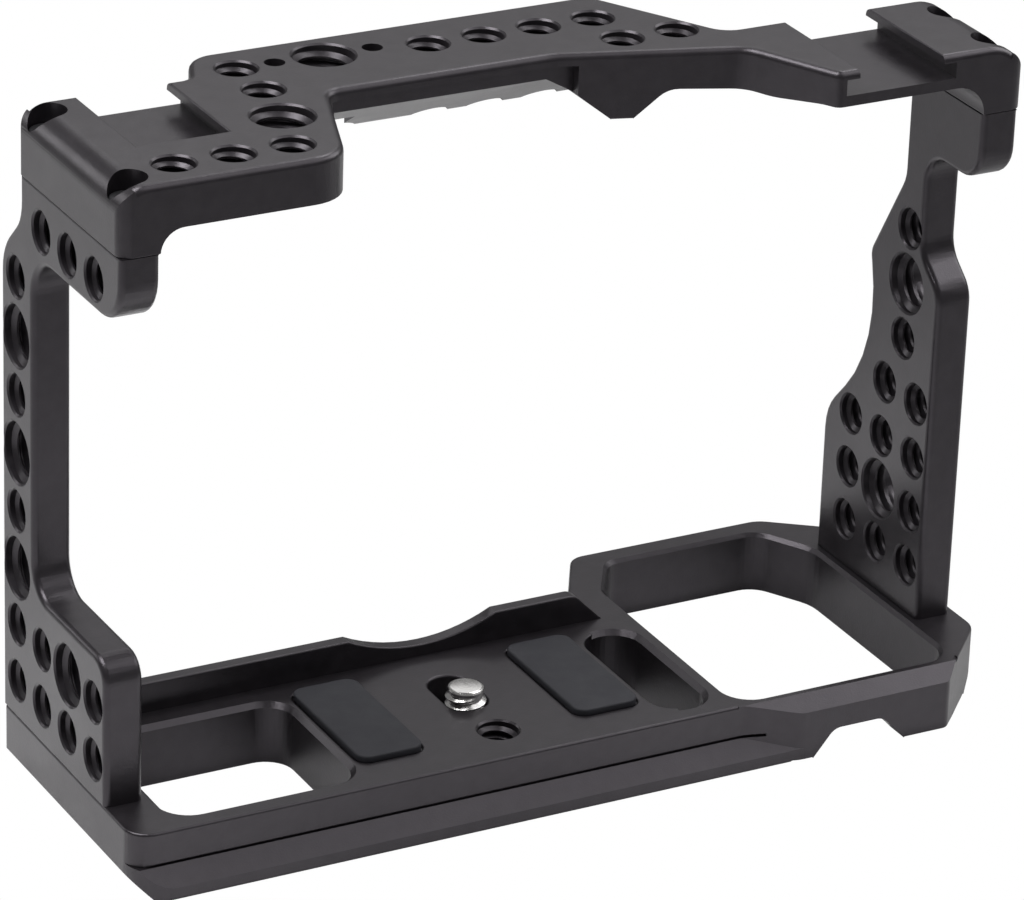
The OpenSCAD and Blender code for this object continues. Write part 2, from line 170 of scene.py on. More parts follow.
def join_pieces(pieces: Sequence[bpy.types.Object], name: str) -> bpy.types.Object:
    """Joins pieces into the first of them.

    Args:
        pieces: The objects to join.
        name: Name of the joined piece.

    Returns:
        The joined piece.
    """
    deselect_all()
    for piece in pieces:
        piece.select_set(True)
    bpy.context.view_layer.objects.active = pieces[0]
    bpy.ops.object.join()
    pieces[0].name = name
    pieces[0].data.name = name
    return pieces[0]


def apply_modifier(piece: bpy.types.Object, kind: str, **values: object) -> None:
    """Adds a modifier, sets it and applies it.

    Args:
        piece: The object that gets the modifier.
        kind: The modifier's type.
        **values: Settings by their property names.
    """
    pick(piece)
    modifier = piece.modifiers.new(kind.lower(), kind)
    for key, value in values.items():
        setattr(modifier, key, value)
    bpy.ops.object.modifier_apply(modifier=modifier.name)


def subtract(piece: bpy.types.Object, tool: bpy.types.Object,
             solver: str = "EXACT") -> None:
    """Cuts a tool's shape out of a piece and removes the tool.

    Args:
        piece: The object that is cut.
        tool: The closed solid that it loses.
        solver: The Boolean modifier's solver.
    """
    apply_modifier(piece, "BOOLEAN", operation="DIFFERENCE", object=tool,
                   solver=solver)
    bpy.data.objects.remove(tool)


def shade(piece: bpy.types.Object, degrees: float) -> None:
    """Smooths the shading across edges flatter than an angle.

    Args:
        piece: The object to shade.
        degrees: Largest angle that still looks round.
    """
    pick(piece)
    bpy.ops.object.shade_smooth_by_angle(angle=math.radians(degrees))


def face_regions(bm: bmesh.types.BMesh, degrees: float = 0.6) -> dict[int, float]:
    """Measures the flat region that each face belongs to.

    Args:
        bm: The mesh.
        degrees: Largest angle that still counts as flat.

    Returns:
        The region's area by the face's index, in square millimetres.
    """
    limit = math.cos(math.radians(degrees))
    areas: dict[int, float] = {}
    for seed in bm.faces:
        if seed.index in areas:
            continue
        region, stack = {seed}, [seed]
        while stack:
            for edge in stack.pop().edges:
                for face in edge.link_faces:
                    if face not in region and face.index not in areas \
                            and face.normal.dot(seed.normal) > limit:
                        region.add(face)
                        stack.append(face)
        total = sum(face.calc_area() for face in region) / MM ** 2
        areas.update((face.index, total) for face in region)
    return areas


def flatten_normals(piece: bpy.types.Object, degrees: float = 34.0) -> None:
    """Gives every corner the normal of the broadest flat region that it blends into.

    Args:
        piece: The object to shade.
        degrees: Largest angle that still blends.
    """
    shade(piece, degrees)
    bm = bmesh.new()
    bm.from_mesh(piece.data)
    bm.normal_update()
    areas = face_regions(bm)
    limit = math.cos(math.radians(degrees))
    normals = []
    for face in bm.faces:
        sliver = face.calc_area() < SLIVER_AREA
        own = face.normal.copy()
        for corner in face.loops:
            total = Vector((0, 0, 0))
            for other in corner.vert.link_faces:
                if sliver or other.normal.dot(face.normal) > limit:
                    total += other.normal * areas[other.index] ** 2
            normals.append(total.normalized() if total.length > 0 else own)
    bm.free()
    piece.data.normals_split_custom_set(normals)


def turn_profile(name: str, stations: Sequence[tuple[float, float]],
                 sides: int = 64) -> bpy.types.Object:
    """Turns a solid about Z by extruding a disc from one station to the next.

    Args:
        name: Name of the piece.
        stations: (radius, height) pairs from the lowest up, in millimetres.
        sides: Number of sides round the axis.

    Returns:
        The closed solid.
    """
    deselect_all()
    radius, height = stations[0]
    bpy.ops.mesh.primitive_circle_add(vertices=sides, radius=radius * MM,
                                      fill_type="NGON", location=(0, 0, height * MM))
    piece = bpy.context.object
    piece.name = piece.data.name = name
    freeze_place(piece)
    with edit_all(piece):
        for next_radius, next_height in stations[1:]:
            bpy.ops.mesh.extrude_region_move(
                TRANSFORM_OT_translate={"value": (0, 0, (next_height - height) * MM)})
            scale = next_radius / radius
            bpy.ops.transform.resize(value=(scale, scale, 1),
                                     center_override=(0, 0, next_height * MM))
            radius, height = next_radius, next_height
        bpy.ops.mesh.select_all(action="SELECT")
        bpy.ops.mesh.normals_make_consistent(inside=False)
    return piece


def hex_cutter(radius: float, low: float, high: float,
               degrees: float = 0.0) -> bpy.types.Object:
    """Makes a hexagonal prism about Z, for cutting a socket.

    Args:
        radius: Radius to the corners, in millimetres.
        low: Height of its lower end, in millimetres.
        high: Height of its upper end, in millimetres.
        degrees: Its turn about Z.

    Returns:
        The prism.
    """
    deselect_all()
    bpy.ops.mesh.primitive_cylinder_add(
        vertices=6, radius=radius * MM, depth=(high - low) * MM,
        location=(0, 0, (low + high) / 2 * MM), rotation=(0, 0, math.radians(degrees)))
    cutter = bpy.context.object
    freeze_place(cutter)
    return cutter


@dataclass(frozen=True)
class ThreadForm:
    """One size of unified thread, in millimetres."""

    radius: float
    pitch: float
    crest_share: float = 0.2
    root_share: float = 0.94
    end_share: float = 0.08
    sunk: float = 0.06

    @property
    def depth(self) -> float:
        """Depth of the thread."""
        return 0.5413 * self.pitch

    def ridge(self, name: str, length: float, inner: bool,
              steps_per_turn: int = 30) -> bpy.types.Object:
        """Winds one closed helical ridge about Z, from height 0 to its length.

        Args:
            name: Name of the piece.
            length: Length of the whole ridge along the axis.
            inner: True for a nut's thread, False for a bolt's.
            steps_per_turn: Number of steps in a turn.

        Returns:
            The ridge.
        """
        core = self.radius - self.depth
        root = self.radius + self.sunk if inner else core - self.sunk
        crest = core if inner else self.radius
        deselect_all()
        bpy.ops.mesh.primitive_plane_add(
            size=self.pitch * MM, rotation=(math.radians(90), 0, 0),
            location=((root + crest) / 2 * MM, 0, self.pitch / 2 * MM))
        piece = bpy.context.object
        piece.name = piece.data.name = name
        freeze_place(piece)
        for vertex in piece.data.vertices:
            outer = vertex.co.x > (root + crest) / 2 * MM
            at_root = outer if inner else not outer
            vertex.co.x = (root if at_root else crest) * MM
            share = (self.root_share if at_root else self.crest_share) / 2
            side = 1 if vertex.co.z > self.pitch / 2 * MM else -1
            vertex.co.z = (self.pitch / 2 + side * share * self.pitch) * MM
        with edit_all(piece):
            bpy.ops.mesh.delete(type="ONLY_FACE")
        turns = self.end_angle(length) / math.tau
        steps = max(12, round(turns * steps_per_turn))
        apply_modifier(piece, "SCREW", axis="Z", angle=turns * math.tau,
                       screw_offset=turns * self.pitch * MM, steps=steps,
                       render_steps=steps, use_merge_vertices=False)
        self.fade_ends(piece, root, steps, steps_per_turn / 4)
        with edit_all(piece):
            bpy.ops.mesh.fill_holes(sides=4)
            bpy.ops.mesh.select_all(action="SELECT")
            bpy.ops.mesh.normals_make_consistent(inside=False)
        shade(piece, 35)
        return piece

    def fade_ends(self, piece: bpy.types.Object, root: float, steps: int,
                  fade: float) -> None:
        """Sinks both ends of a ridge into the wall that it stands on.

        Args:
            piece: The ridge, with its sections in order.
            root: Radius of the wall.
            steps: Number of sections after the first.
            fade: Number of sections that the ridge takes to rise.
        """
        size = len(piece.data.vertices) // (steps + 1)
        for vertex in piece.data.vertices:
            section = vertex.index // size
            share = min(1.0, section / fade, (steps - section) / fade)
            share = max(self.end_share, share)
            radius = math.hypot(vertex.co.x, vertex.co.y) / MM
            scale = (root + (radius - root) * share) / radius
            vertex.co.x *= scale
            vertex.co.y *= scale

    def end_angle(self, length: float) -> float:
        """Angle round the axis at which a ridge of some length ends.

        Args:
            length: Length of the whole ridge, in millimetres.

        Returns:
            The angle, in radians.
        """
        return (length - self.pitch) / self.pitch * math.tau


QUARTER = ThreadForm(radius=3.175, pitch=1.27)
THREE_EIGHTHS = ThreadForm(radius=4.7625, pitch=1.5875)


# ---------------------------------------------------------------- shader groups


class NodeTree:
    """Small helper that places and links shader nodes."""

    def __init__(self, tree: bpy.types.NodeTree) -> None:
        """Keeps the tree.

        Args:
            tree: A material's or a group's node tree.
        """
        self.tree = tree

    def add(self, kind: str, **values: object) -> bpy.types.Node:
        """Adds a node and sets its properties.

        Args:
            kind: The node's type name.
            **values: Properties by name.

        Returns:
            The node.
        """
        node = self.tree.nodes.new(kind)
        for key, value in values.items():
            setattr(node, key, value)
        return node

    def feed(self, value: Feed, target: Socket) -> None:
        """Links a varying value to an input, or sets a constant on it.

        Args:
            value: An output, a number or a colour.
            target: The input.
        """
        if isinstance(value, Socket):
            self.tree.links.new(value, target)
        else:
            target.default_value = (*value, 1.0) if isinstance(value, tuple) else value

    def noise(self, place: Socket, scale: Feed, detail: float,
              roughness: float = 0.5) -> Socket:
        """Adds a noise texture.

        Args:
            place: Coordinates, in metres.
            scale: Features per metre.
            detail: Octaves.
            roughness: Strength of the finer octaves.

        Returns:
            The noise's value.
        """
        node = self.add("ShaderNodeTexNoise")
        for key, value in (("Vector", place), ("Scale", scale), ("Detail", detail),
                           ("Roughness", roughness)):
            self.feed(value, node.inputs[key])
        return node.outputs["Fac"]

    def spread(self, value: Socket, low: float, high: float,
               to_low: Feed, to_high: Feed) -> Socket:
        """Maps a value from one range to another.

        Args:
            value: The varying value.
            low: Lower end of its range.
            high: Upper end of its range.
            to_low: Result at the lower end.
            to_high: Result at the upper end.

        Returns:
            The mapped value.
        """
        node = self.add("ShaderNodeMapRange")
        for key, end in (("Value", value), ("From Min", low), ("From Max", high),
                         ("To Min", to_low), ("To Max", to_high)):
            self.feed(end, node.inputs[key])
        return node.outputs["Result"]

    def math(self, operation: str, first: Feed, second: Feed = 0.0) -> Socket:
        """Combines two values.

        Args:
            operation: The Math node's operation.
            first: First value or socket.
            second: Second value or socket.

        Returns:
            The result.
        """
        node = self.add("ShaderNodeMath", operation=operation)
        for socket, value in zip(node.inputs, (first, second)):
            self.feed(value, socket)
        return node.outputs["Value"]

    def blend(self, mask: Socket, first: Feed, second: Feed) -> Socket:
        """Mixes two colours by a mask.

        Args:
            mask: Share of the second colour.
            first: First colour or socket.
            second: Second colour or socket.

        Returns:
            The mixed colour.
        """
        node = self.add("ShaderNodeMix", data_type="RGBA")
        for key, value in (("Factor", mask), (6, first), (7, second)):
            self.feed(value, node.inputs[key])
        return node.outputs[2]

    def split(self, place: Socket) -> bpy.types.NodeOutputs:
        """Splits coordinates.

        Args:
            place: The coordinates.

        Returns:
            The outputs X, Y and Z.
        """
        node = self.add("ShaderNodeSeparateXYZ")
        self.feed(place, node.inputs[0])
        return node.outputs


class SurfaceGroup:
    """Base of the shader node groups that several finishes share."""

    name: str = ""
    inputs: tuple[tuple[str, str, float], ...] = ()
    outputs: tuple[tuple[str, str], ...] = ()

    def __init__(self) -> None:
        """Builds the group's sockets and nodes once."""
        tree = bpy.data.node_groups.new(self.name, "ShaderNodeTree")
        for label, kind, default in self.inputs:
            socket = tree.interface.new_socket(name=label, in_out="INPUT",
                                               socket_type=kind)
            if kind == "NodeSocketFloat":
                socket.default_value = default
        for label, kind in self.outputs:
            tree.interface.new_socket(name=label, in_out="OUTPUT", socket_type=kind)
        self.tree = tree
        self.nodes = NodeTree(tree)
        self.source = self.nodes.add("NodeGroupInput")
        self.sink = self.nodes.add("NodeGroupOutput")
        self.build()

    def source_values(self) -> list[Socket]:
        """The group's input values, in the order of its inputs."""
        return [self.source.outputs[label] for label, _, _ in self.inputs]

    def build(self) -> None:
        """Places the group's nodes."""
        raise NotImplementedError

    def place(self, nodes: NodeTree, **values: object) -> bpy.types.Node:
        """Places the group in a material.

        Args:
            nodes: The material's nodes.
            **values: Input values or sockets, with underscores for spaces.

        Returns:
            The group's node.
        """
        node = nodes.add("ShaderNodeGroup", node_tree=self.tree)
        for key, value in values.items():
            nodes.feed(value, node.inputs[key.replace("_", " ")])
        return node


class BlastedGrain(SurfaceGroup):
    """Fine pitted grain of bead-blasted metal."""

    name = "blasted_grain"
    inputs = (("Place", "NodeSocketVector", 0.0),
              ("Grain Scale", "NodeSocketFloat", 5200.0),
              ("Coarse Share", "NodeSocketFloat", 0.35))
    outputs = (("Height", "NodeSocketFloat"), ("Mottle", "NodeSocketFloat"))

    def build(self) -> None:
        """Places fine pits over a coarser unevenness."""
        n = self.nodes
        place, scale, coarse_share = self.source_values()
        fine = n.noise(place, scale, detail=2.0)
        pits = n.add("ShaderNodeTexVoronoi")
        n.feed(place, pits.inputs["Vector"])
        n.feed(n.math("MULTIPLY", scale, 0.55), pits.inputs["Scale"])
        coarse = n.noise(place, scale=420.0, detail=3.0)
        both = n.math("ADD", n.math("MULTIPLY", fine, 0.6),
                      n.math("MULTIPLY", pits.outputs["Distance"], 0.4))
        height = n.math("ADD", both, n.math("MULTIPLY", coarse, coarse_share))
        n.feed(height, self.sink.inputs["Height"])
        n.feed(n.spread(coarse, 0.3, 0.7, 0.0, 1.0), self.sink.inputs["Mottle"])


class HandlingMarks(SurfaceGroup):
    """Faint smudges and polished patches where hands and screws have rubbed."""

    name = "handling_marks"
    inputs = (("Place", "NodeSocketVector", 0.0),
              ("Patch Scale", "NodeSocketFloat", 60.0))
    outputs = (("Rubbed", "NodeSocketFloat"),)

    def build(self) -> None:
        """Places broad patches broken up by a finer noise."""
        n = self.nodes
        place, scale = self.source_values()
        broad = n.spread(n.noise(place, scale, detail=3.0), 0.46, 0.66, 0.0, 1.0)
        fine = n.noise(place, scale=700.0, detail=4.0, roughness=0.65)
        mixed = n.math("MULTIPLY", broad, fine)
        n.feed(n.spread(mixed, 0.0, 0.6, 0.0, 1.0), self.sink.inputs["Rubbed"])


class TurnedRings(SurfaceGroup):
    """Fine rings that a lathe tool leaves round the Z axis."""

    name = "turned_rings"
    inputs = (("Place", "NodeSocketVector", 0.0),
              ("Rings Per Metre", "NodeSocketFloat", 9000.0))
    outputs = (("Height", "NodeSocketFloat"),)

    def build(self) -> None:
        """Places waves by distance from the axis, uneven along them."""
        n = self.nodes
        place, rings = self.source_values()
        x, y, z = (n.split(place)[key] for key in "XYZ")
        distance = n.math("SQRT", n.math("ADD", n.math("MULTIPLY", x, x),
                                         n.math("MULTIPLY", y, y)))
        uneven = n.math("MULTIPLY", n.noise(place, scale=500.0, detail=2.0), 0.0006)
        along = n.math("ADD", n.math("ADD", distance, z), uneven)
        wave = n.math("SINE", n.math("MULTIPLY", along, rings))
        n.feed(n.spread(wave, -1.0, 1.0, 0.0, 1.0), self.sink.inputs["Height"])


@dataclass
class SurfaceGroups:
    """All the shared groups, built once."""

    grain: BlastedGrain = field(default_factory=BlastedGrain)
    marks: HandlingMarks = field(default_factory=HandlingMarks)
    rings: TurnedRings = field(default_factory=TurnedRings)


# ---------------------------------------------------------------- finishes


class MaterialSlot(Enum):
    """Material slots of the record."""

    ANODISED = "anodised_plate"
    RUBBER = "rubber_pad"
    BRIGHT = "bright_steel"
    BLACK_STEEL = "black_steel"


Masks = tuple[Socket, Socket, Socket]


@dataclass(frozen=True)
class Finish:
    """Base of the finishes: two tones, two roughnesses and a fine relief in metres."""

    dark: Colour
    light: Colour
    roughness: tuple[float, float]
    relief: float = 0.00003
    relief_strength: float = 0.6

    def masks(self, nodes: NodeTree, groups: SurfaceGroups, place: Socket) -> Masks:
        """Places the shared groups that the finish uses.

        Args:
            nodes: The material's nodes.
            groups: The shared node groups.
            place: Object coordinates.

        Returns:
            Share of the light tone, share of the second roughness, relief's height.
        """
        raise NotImplementedError

    def constants(self) -> dict[str, float | Colour]:
        """Settings of the shader that don't vary, by socket."""
        return {}

    def build(self, name: str, groups: SurfaceGroups) -> bpy.types.Material:
        """Builds the material.

        Args:
            name: Name of the material.
            groups: The shared node groups.

        Returns:
            The material.
        """
        material = bpy.data.materials.new(name)
        material.use_nodes = True
        nodes = NodeTree(material.node_tree)
        shader = material.node_tree.nodes["Principled BSDF"]
        place = nodes.add("ShaderNodeTexCoord").outputs["Object"]
        tone, rough, height = self.masks(nodes, groups, place)
        bump = nodes.add("ShaderNodeBump")
        for key, value in (("Height", height), ("Distance", self.relief),
                           ("Strength", self.relief_strength)):
            nodes.feed(value, bump.inputs[key])
        values = {"Base Color": nodes.blend(tone, self.dark, self.light),
                  "Roughness": nodes.spread(rough, 0.0, 1.0, *self.roughness),
                  "Normal": bump.outputs["Normal"], **self.constants()}
        for key, value in values.items():
            nodes.feed(value, shader.inputs[key])
        return material


@dataclass(frozen=True)
class AnodisedAluminium(Finish):
    """Bead-blasted aluminium, anodised black."""

    dark: Colour = (0.0080, 0.0070, 0.0082)
    light: Colour = (0.0135, 0.0120, 0.0138)
    roughness: tuple[float, float] = (0.35, 0.29)
    sheen_tint: Colour = (0.98, 0.91, 1.0)

    def masks(self, nodes: NodeTree, groups: SurfaceGroups, place: Socket) -> Masks:
        """Mottles the tone with the grain, and polishes what hands have rubbed.

        Args:
            nodes: The material's nodes.
            groups: The shared node groups.
            place: Object coordinates.

        Returns:
            Share of the light tone, share of the second roughness, relief's height.
        """
        grain = groups.grain.place(nodes, Place=place).outputs
        marks = groups.marks.place(nodes, Place=place).outputs
        return grain["Mottle"], marks["Rubbed"], grain["Height"]

    def constants(self) -> dict[str, float | Colour]:
        """Tints the reflections."""
        return {"Specular Tint": self.sheen_tint}


@dataclass(frozen=True)
class MouldedRubber(Finish):
    """Matte black rubber sheet."""

    dark: Colour = (0.019, 0.019, 0.024)
    light: Colour = (0.023, 0.023, 0.028)
    roughness: tuple[float, float] = (0.68, 0.76)
    specular_level: float = 0.4

    def masks(self, nodes: NodeTree, groups: SurfaceGroups, place: Socket) -> Masks:
        """Dusts the tone in patches over a coarse grain.

        Args:
            nodes: The material's nodes.
            groups: The shared node groups.
            place: Object coordinates.

        Returns:
            Share of the light tone, share of the second roughness, relief's height.
        """
        grain = groups.grain.place(nodes, Place=place, Grain_Scale=3000.0).outputs
        marks = groups.marks.place(nodes, Place=place, Patch_Scale=160.0).outputs
        return marks["Rubbed"], grain["Mottle"], grain["Height"]

    def constants(self) -> dict[str, float | Colour]:
        """Dulls the reflections."""
        return {"Specular IOR Level": self.specular_level}


@dataclass(frozen=True)
class TurnedSteel(Finish):
    """Steel turned on a lathe, bright or blackened."""

    dark: Colour = (0.62, 0.61, 0.60)
    light: Colour = (0.78, 0.77, 0.76)
    roughness: tuple[float, float] = (0.2, 0.34)
    relief: float = 0.000006
    relief_strength: float = 0.35
    metallic: float = 1.0

    def masks(self, nodes: NodeTree, groups: SurfaceGroups, place: Socket) -> Masks:
        """Leaves turned rings, and dulls what has been handled.

        Args:
            nodes: The material's nodes.
            groups: The shared node groups.
            place: Object coordinates.

        Returns:
            Share of the light tone, share of the second roughness, relief's height.
        """
        rings = groups.rings.place(nodes, Place=place).outputs
        marks = groups.marks.place(nodes, Place=place, Patch_Scale=220.0).outputs
        return marks["Rubbed"], marks["Rubbed"], rings["Height"]

    def constants(self) -> dict[str, float | Colour]:
        """Makes it metal."""
        return {"Metallic": self.metallic}


@dataclass
class Finishes:
    """The object's materials, by slot."""

    groups: SurfaceGroups = field(default_factory=SurfaceGroups)

    def __post_init__(self) -> None:
        """Builds every material once."""
        black = TurnedSteel(dark=(0.030, 0.030, 0.032), light=(0.060, 0.060, 0.064),
                            roughness=(0.3, 0.45), metallic=0.6)
        makers = {
            MaterialSlot.ANODISED: AnodisedAluminium(),
            MaterialSlot.RUBBER: MouldedRubber(),
            MaterialSlot.BRIGHT: TurnedSteel(),
            MaterialSlot.BLACK_STEEL: black,
        }
        self.by_slot = {slot: maker.build(slot.value, self.groups)
                        for slot, maker in makers.items()}

    def dress(self, piece: bpy.types.Object, slot: MaterialSlot) -> None:
        """Gives a piece its only material.

        Args:
            piece: The object to dress.
            slot: The record's slot that it takes its finish from.
        """
        piece.data.materials.clear()
        piece.data.materials.append(self.by_slot[slot])


# ---------------------------------------------------------------- plates


@dataclass
class Hole:
    """One threaded hole, by its middle in the frame, in millimetres."""

    middle: Place
    axis: Axis
    thread: ThreadForm
    length: float


@dataclass
class EdgeRun:
    """A chain of edges of one flat face, rounded to one width, in millimetres."""

    points: list[Vector]
    closed: bool
    normal: Vector
    width: float
    spare: float = 0.25
    steps: int = 4
    mitre_limit: float = 0.3

    def section(self) -> list[tuple[float, float]]:
        """Outline of the cutter, as (inset from the edge, depth under the face).

        Returns:
            The corners, in order, in millimetres.
        """
        w, g = self.width, self.spare
        arc = []
        for step in range(self.steps + 1):
            angle = math.pi / 2 * step / self.steps
            arc.append((w - w * math.sin(angle), w - w * math.cos(angle)))
        return [(w, -g), *arc, (-g, w), (-g, -g)]

    def insets(self) -> list[Vector]:
        """Mitred inward direction at each point.

        Returns:
            One direction per point, longer where the chain turns.
        """
        count = len(self.points)
        spans = count if self.closed else count - 1
        sides = []
        for i in range(spans):
            along = (self.points[(i + 1) % count] - self.points[i]).normalized()
            sides.append(self.normal.cross(along))
        result = []
        for i in range(count):
            before = sides[i - 1] if self.closed or i > 0 else sides[0]
            after = sides[i] if i < spans else sides[-1]
            result.append((before + after)
                          / max(self.mitre_limit, 1 + before.dot(after)))
        return result

    def cutter(self) -> bpy.types.Object:
        """Builds the solid that a plate loses along the chain.

        Returns:
            The closed cutter.
        """
        section = self.section()
        bm = bmesh.new()
        rings = [[bm.verts.new((point + inset * s - self.normal * t) * MM)
                  for s, t in section]
                 for point, inset in zip(self.points, self.insets())]
        pairs = list(zip(rings, rings[1:]))
        if self.closed:
            pairs.append((rings[-1], rings[0]))
        else:
            bm.faces.new(rings[0])
            bm.faces.new(list(reversed(rings[-1])))
        for ring, after in pairs:
            for i in range(len(section)):
                j = (i + 1) % len(section)
                bm.faces.new((ring[i], after[i], after[j], ring[j]))
        bmesh.ops.recalc_face_normals(bm, faces=bm.faces)
        mesh = bpy.data.meshes.new("edge_cutter")
        bm.to_mesh(mesh)
        bm.free()
        tool = bpy.data.objects.new("edge_cutter", mesh)
        bpy.context.scene.collection.objects.link(tool)
        return tool


Follow = dict[bmesh.types.BMVert, tuple[bmesh.types.BMVert, float]]
WidthRule = Callable[[Vector, Vector], float]


def evenly(width: float) -> WidthRule:
    """Makes a rule that gives every edge one width, in millimetres."""
    return lambda middle, other: width


@dataclass(frozen=True)
class Cap:
    """A flat face across one axis, and how wide each of its edges is rounded.

    The width's rule gets an edge's middle and its other face's normal. That face has
    to be a wall, no farther off square than wall_slope. Edges at least as wide as
    flat_from get a flat bevel.
    """

    axis: int
    level: float
    facing: int
    width: WidthRule
    flat_from: float = 99.0
    wall_slope: float = 0.25

    def runs(self, bm: bmesh.types.BMesh,
             skip: Callable[[Vector], bool]) -> list[EdgeRun]:
        """Finds the chains of convex edges round the face.

        Args:
            bm: The plate's mesh.
            skip: Tells which places keep their edge.

        Returns:
            The chains.
        """
        normal = Vector((0, 0, 0))
        normal[self.axis] = self.facing
        faces = [f for f in bm.faces if f.normal.dot(normal) > 0.999 and
                 abs(f.calc_center_median()[self.axis] / MM - self.level) < SAME_PLACE]
        inside = set(faces)
        follow: Follow = {}
        for face in faces:
            for loop in face.loops:
                others = [f for f in loop.edge.link_faces if f not in inside]
                if not others or not loop.edge.is_convex:
                    continue
                if abs(others[0].normal.dot(normal)) > self.wall_slope:
                    continue
                end = loop.link_loop_next.vert
                middle = (loop.vert.co + end.co) / 2 / MM
                width = 0.0 if skip(middle) else self.width(middle, others[0].normal)
                if width > 0:
                    follow[loop.vert] = (end, width)
        return self.link(follow, normal)

    def link(self, follow: Follow, normal: Vector) -> list[EdgeRun]:
        """Links directed edges of equal width into chains.

        Args:
            follow: End and width of the edge that leaves each vertex.
            normal: The face's normal.

        Returns:
            The chains.
        """
        arrive = {end: width for end, width in follow.values()}
        firsts = [v for v, (_, width) in follow.items() if arrive.get(v) != width]
        runs = []
        for first in firsts + list(follow):
            if first not in follow:
                continue
            width = follow[first][1]
            vertex, points = first, [first.co / MM]
            while vertex in follow and follow[vertex][1] == width:
                vertex = follow.pop(vertex)[0]
                if (vertex.co / MM - points[-1]).length > SAME_PLACE:
                    points.append(vertex.co / MM)
            closed = vertex is first and len(points) > 3
            if closed and (points[-1] - points[0]).length < SAME_PLACE:
                points.pop()
            if len(points) > 1:
                steps = 1 if width >= self.flat_from else 4
                runs.append(EdgeRun(points, closed, normal, width, steps=steps))
        return runs


@dataclass
class MilledPlate:
    """A plate of the cage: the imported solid, merged and rounded along its edges.

    The rims of its holes stay sharp, and so do its plain rims, given as
    (x, y, radius) of counterbores and pin holes.
    """

    node: str
    holes: list[Hole]
    caps: list[Cap]
    plain_rims: list[tuple[float, float, float]] = field(default_factory=list)
    first_runs: list[EdgeRun] = field(default_factory=list)
    thread_margin: float = 0.45
    rim_margin: float = 0.15

    def build(self, finishes: Finishes) -> None:
        """Builds the plate and its threads.

        Args:
            finishes: The object's materials.
        """
        piece = merged_copy(self.node, f"{self.node}_milled")
        self.round_edges(piece)
        finishes.dress(piece, MaterialSlot.ANODISED)
        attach(piece, CAGE)
        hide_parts(self.node)
        log.info("%s: %d faces", piece.name, len(piece.data.polygons))
        self.cut_threads(finishes)

    def near_hole(self, point: Vector) -> bool:
        """Tells whether a point lies on the rim of a round hole.

        Args:
            point: The point, in millimetres.

        Returns:
            True if it does.
        """
        for hole in self.holes:
            x, y, z = hole.middle
            if hole.axis is Axis.X:
                away = math.hypot(point.y - y, point.z - z)
            else:
                away = math.hypot(point.x - x, point.y - y)
            if away < hole.thread.radius + self.thread_margin:
                return True
        return any(math.hypot(point.x - x, point.y - y) < reach + self.rim_margin
                   for x, y, reach in self.plain_rims)

    def round_edges(self, piece: bpy.types.Object) -> None:
        """Rounds the plate's edges and keeps its broad faces flat to the light.

        Args:
            piece: The plate.
        """
        self.cut(piece, self.first_runs)
        bm = bmesh.new()
        bm.from_mesh(piece.data)
        bm.normal_update()
        runs = [run for cap in self.caps for run in cap.runs(bm, self.near_hole)]
        bm.free()
        self.cut(piece, runs)
        log.info("%s: %d chains of edges", piece.name, len(runs))
        flatten_normals(piece)

    def cut(self, piece: bpy.types.Object, runs: Sequence[EdgeRun]) -> None:
        """Cuts each chain's rounding off the plate.

        Args:
            piece: The plate.
            runs: The chains.
        """
        for run in runs:
            subtract(piece, run.cutter(), "MANIFOLD")

    def cut_threads(self, finishes: Finishes) -> None:
        """Winds a thread in every hole, as one piece for the plate.

        Args:
            finishes: The object's materials.
        """
        masters: dict[tuple[float, float], bpy.types.Object] = {}
        copies = []
        for number, hole in enumerate(self.holes):
            key = (hole.thread.radius, hole.length)
            if key not in masters:
                masters[key] = hole.thread.ridge("thread_master", hole.length,
                                                 inner=True)
            twin = copy_piece(masters[key], f"thread_{number}")
            centred = Matrix.Translation((0, 0, -hole.length / 2 * MM))
            place = Matrix.Translation(Vector(hole.middle) * MM)
            turn = hole.axis.turn(hole.thread.end_angle(hole.length))
            twin.data.transform(place @ turn @ centred)
            copies.append(twin)
        for master in masters.values():
            bpy.data.objects.remove(master)
        threads = join_pieces(copies, f"{self.node}_threads")
        finishes.dress(threads, MaterialSlot.ANODISED)
        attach(threads, CAGE)
        log.info("%s: %d holes", threads.name, len(self.holes))


SidePlace = tuple[float, float, ThreadForm]


